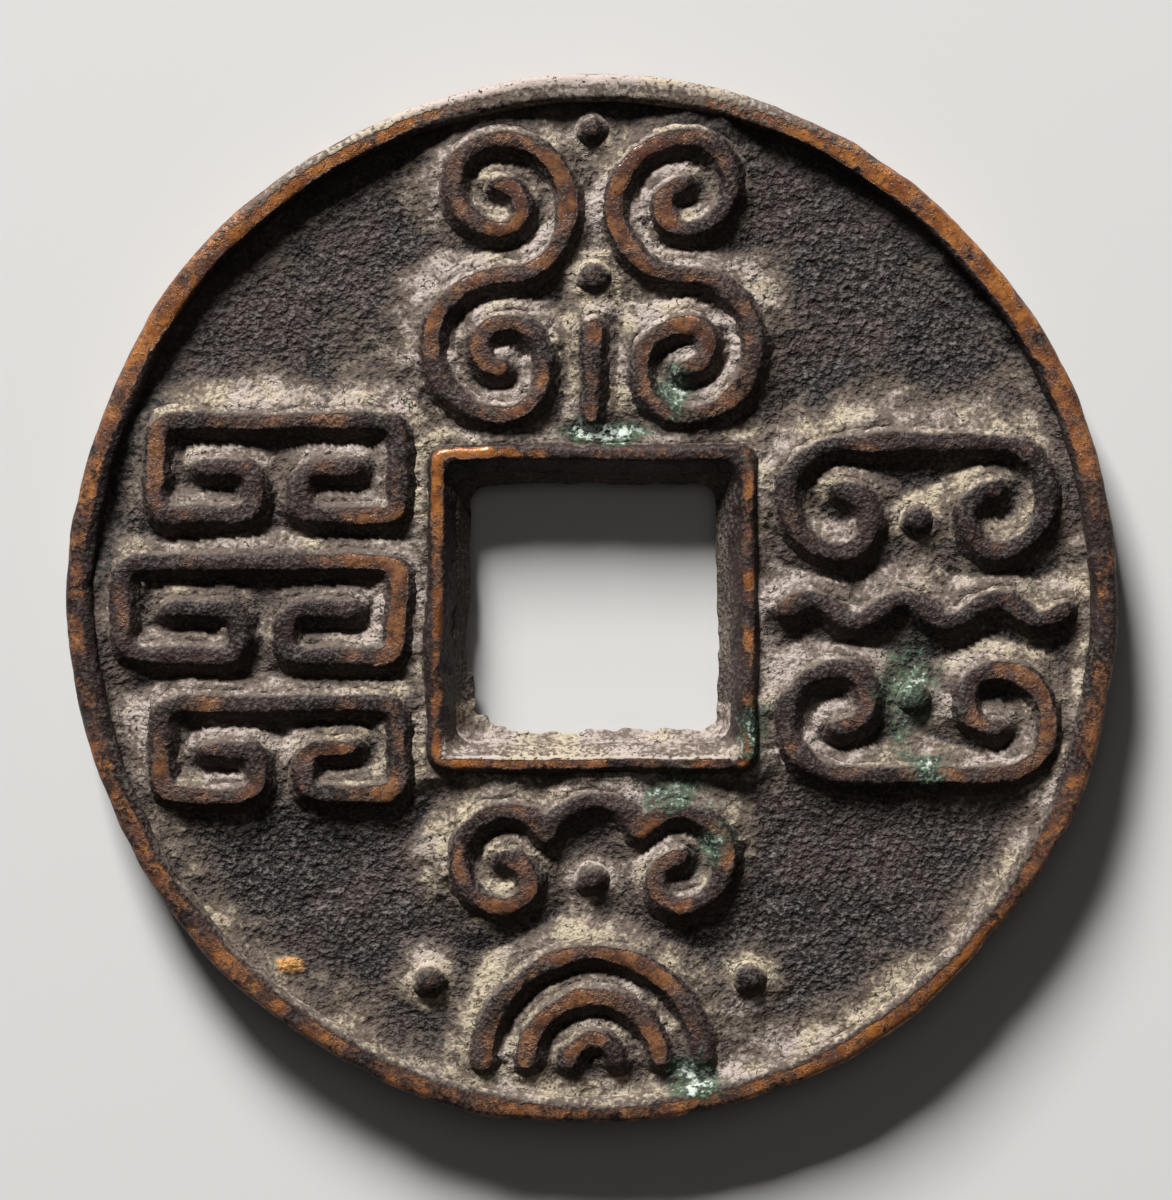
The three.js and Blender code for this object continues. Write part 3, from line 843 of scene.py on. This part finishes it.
def flan_piece(lines, pearls):
    """The body of the casting, with soil banked against the relief and the rims, casting lumps on
    its fields and a ragged fin in the hole."""
    points, faces, stretch_of = flan_grid()
    on_edge, on_face, on_wall, on_back = (stretch_of == name for name in ("edge", "face", "wall", "back"))
    points = warped(points)

    reach = from_middle(points)
    half = from_square(points)
    furthest = 3.0
    to_lines = np.full(len(points), furthest)
    facing = np.zeros(len(points))
    to_lines[on_face], facing[on_face] = nearest_pieces(points[on_face] + (0, 0, 0.4), lines, furthest)
    to_pearls = np.full(len(points), furthest)
    to_pearls[on_face] = nearest_pieces(points[on_face] + (0, 0, 0.2), pearls, furthest)[0]
    to_rim = np.clip(FACE_RIM_FOOT - reach, 0, None)
    to_square = np.clip(half - FACE_SQUARE_FOOT, 0, None)
    to_back_square = np.clip(half - BACK_SQUARE_FOOT, 0, None)
    to_back_rims = np.minimum(np.clip(BACK_RIM_FOOT - reach, 0, None), to_back_square)

    # Soil lies round the relief and along the rims. On the relief's sides that face the light it is painted
    # paler and wider, as a painted lit side, and on the sides away from it thinner, as painted shade.
    # Inside the outer rim, on the side of the light, it gives way to painted shade where the rim's shadow
    # falls
    patch = 0.5 + 0.5 * rough(points, 2.6, 81)
    side = smoothstep(-0.6, 0.5, facing)
    relief_soil_and_light = bell(to_lines, 0.7 + 0.7 * side) * (0.6 + 0.5 * patch) * (0.45 + 0.55 * side)
    relief_soil_and_light = np.maximum(relief_soil_and_light, 0.9 * bell(to_pearls, 0.7)) * soiling(points)
    lightward = toward_light(points)
    painted_rim_shade = bell(to_rim, 1.1) * smoothstep(0.0, 0.5, lightward)
    along_rim = bell(to_rim, 1.6) * rim_soil(points) * (1 - painted_rim_shade)
    along_square = bell(to_square, 1.1) * (0.5 + 0.5 * patch)
    soil = np.clip(np.maximum.reduce([relief_soil_and_light * (1 - 0.5 * painted_rim_shade), along_rim, along_square]), 0, 1)
    # Less soil near the rim towards the side of the light: painted shade where the rim's shadow falls
    soil *= 1 - 0.6 * smoothstep(-0.5, 0.0, lightward) * bell(to_rim, 0.6)
    thin = 0.3 * smoothstep(0.45, 0.75, patch)
    soil_face = np.clip(soil * (0.8 + 0.4 * noise(points, 0.9, 82)) + thin, 0, 1)
    soil_back = np.clip(bell(to_back_rims, 1.2) * (0.4 + 0.5 * patch) + thin, 0, 1)

    # The fields rise in fillets and banks of soil towards what stands on them
    texture = 0.06 * rough(points, 4.5, 83) + 0.09 * rough(points, 1.2, 84)
    texture += 0.065 * noise(points, 0.42, 85)
    fillet = 0.16 * np.exp(-np.minimum(to_lines, to_pearls) / 0.3) + 0.25 * np.exp(-to_square / 0.3)
    fillet += (0.28 + 0.2 * noise(points, 0.9, 90)) * np.exp(-to_rim / 0.4)
    bank = soil * (0.12 + 0.09 * rough(points, 0.9, 86))
    bank += 0.26 * np.exp(-to_lines / 0.5) * side * (0.5 + 0.7 * patch)
    bank += 0.06 * np.exp(-to_lines / 0.3) * noise(points, 0.7, 89)
    bank += 0.1 * bell(to_lines, 0.9)
    face_lumps = lumps(points, 87, 110, 0.11)
    face_rise = texture + fillet + bank + face_lumps
    back_rise = texture + 0.15 * np.exp(-to_back_rims / 0.3) + 0.5 * lumps(points, 88, 70, 0.11)
    points[:, 2] += np.where(on_face, face_rise, 0) - np.where(on_back, back_rise, 0)
    low_wall = points[:, 1] < HOLE_CENTRE[1] - 4
    points[:, :2] += np.where(on_wall[:, None], fin_burr(points), 0)

    soil_wall = np.clip(0.35 + 0.38 * low_wall + 0.22 * noise(points, 1.3, 92), 0, 1)
    soil_all = np.select([on_face, on_back, on_wall], [soil_face, soil_back, soil_wall], 0.15)
    high = 0.35 * smoothstep(0.06, 0.2, texture + face_lumps)
    worn_edge = 0.35 + 0.4 * rough(points, 2.2, 93)
    rub = np.select([on_face, on_edge], [high * (1 - soil_face), worn_edge], 0.0)
    # On the face the handled field carries the painted rim shade, which thins the pale grain tips; on the
    # edge it is real handling
    handled = np.select([on_face, on_edge], [0.9 * painted_rim_shade, 1.0], 0.0)
    flake = flake_at(points) * on_face
    points[:, 2] += FLAKE_HEIGHT * flake
    made("flan", points, faces, FIELD, "field_patina", rub=rub, soil=soil_all, flake=flake, handled=handled)


# The floor's reach in metres, its colour as the camera sees it and as it throws light back
FLOOR_REACH = 0.6
FLOOR_SEEN = (0.78, 0.77, 0.75, 1)
FLOOR_THROWN = (0.35, 0.35, 0.35, 1)

# The studio's even light
WORLD_COLOUR = (1.0, 0.97, 0.94, 1)
WORLD_STRENGTH = 0.02

# The camera: its lens and sensor, the height of its frame on the face, and how far the coin's
# middle lies right of the frame's
LENS = 180
SENSOR = 36
FRAME_HEIGHT = 51.12
COIN_ASIDE = 0.288


def floor():
    """A plain pale floor, whose whiteness is seen by the camera but doesn't light the coin."""
    mesh = bpy.data.meshes.new("floor")
    corners = [(x * FLOOR_REACH, y * FLOOR_REACH, 0) for x, y in ((-1, -1), (1, -1), (1, 1), (-1, 1))]
    mesh.from_pydata(corners, [], [(0, 1, 2, 3)])
    n = Nodes("floor")
    path = n.add("ShaderNodeLightPath")
    seen = n.larger(path.outputs["Is Camera Ray"], path.outputs["Is Glossy Ray"])
    seen = n.larger(seen, path.outputs["Is Transmission Ray"])
    colour = n.colour(seen, FLOOR_THROWN, FLOOR_SEEN)
    mesh.materials.append(n.finished({"Base Color": colour, "Roughness": 0.9}))
    obj = bpy.data.objects.new("floor", mesh)
    bpy.context.scene.collection.objects.link(obj)


def lamp(name, azimuth, elevation, distance, size, level):
    """A soft square lamp aimed at the coin. level is what it adds to a white surface that faces it."""
    light = bpy.data.lights.new(name, "AREA")
    light.size = size
    light.energy = level * math.pi * math.pi * distance**2
    obj = bpy.data.objects.new(name, light)
    turn, rise = math.radians(azimuth), math.radians(elevation)
    way = Vector((math.cos(turn) * math.cos(rise), math.sin(turn) * math.cos(rise), math.sin(rise)))
    obj.location = way * distance
    obj.rotation_mode = "QUATERNION"
    obj.rotation_quaternion = way.to_track_quat("Z", "Y")
    bpy.context.scene.collection.objects.link(obj)


def world():
    """The even light that comes from all round."""
    studio = bpy.data.worlds.new("studio")
    studio.use_nodes = True
    background = studio.node_tree.nodes["Background"]
    background.inputs["Color"].default_value = WORLD_COLOUR
    background.inputs["Strength"].default_value = WORLD_STRENGTH
    bpy.context.scene.world = studio


def camera():
    """Straight above the face, with the coin a little right of the middle of the frame."""
    data = bpy.data.cameras.new("camera")
    data.lens = LENS
    data.sensor_width = SENSOR
    data.clip_start = 0.01
    data.clip_end = 10
    obj = bpy.data.objects.new("camera", data)
    obj.location = (-COIN_ASIDE * MM, 0, (FACE_TOP + FRAME_HEIGHT * LENS / SENSOR) * MM)
    bpy.context.scene.collection.objects.link(obj)
    bpy.context.scene.camera = obj


relief = {node: relief_piece(node) for node in RELIEF}
outer_rim("face_outer_rim", FACE_RIM_FOOT, FACE_RIM_WIDTH, FACE_TOP, FACE_FIELD, seed=101)
outer_rim("back_outer_rim", BACK_RIM_FOOT, BACK_RIM_WIDTH, BACK_FACE, BACK_FIELD, seed=121)
square_rim("face_inner_rim", FACE_SQUARE_FOOT, FACE_TOP, FACE_FIELD, seed=141)
square_rim("back_inner_rim", BACK_SQUARE_FOOT, BACK_FACE, BACK_FIELD, seed=161)
flan_piece([relief[n] for n in RELIEF if "pearl" not in n], [relief[n] for n in RELIEF if "pearl" in n])

floor()
lamp("key", azimuth=110, elevation=27, distance=1.2, size=0.36, level=1.95)
lamp("top", azimuth=80, elevation=75, distance=1.2, size=0.8, level=0.03)
world()
camera()
bpy.context.scene.view_settings.view_transform = "Standard"
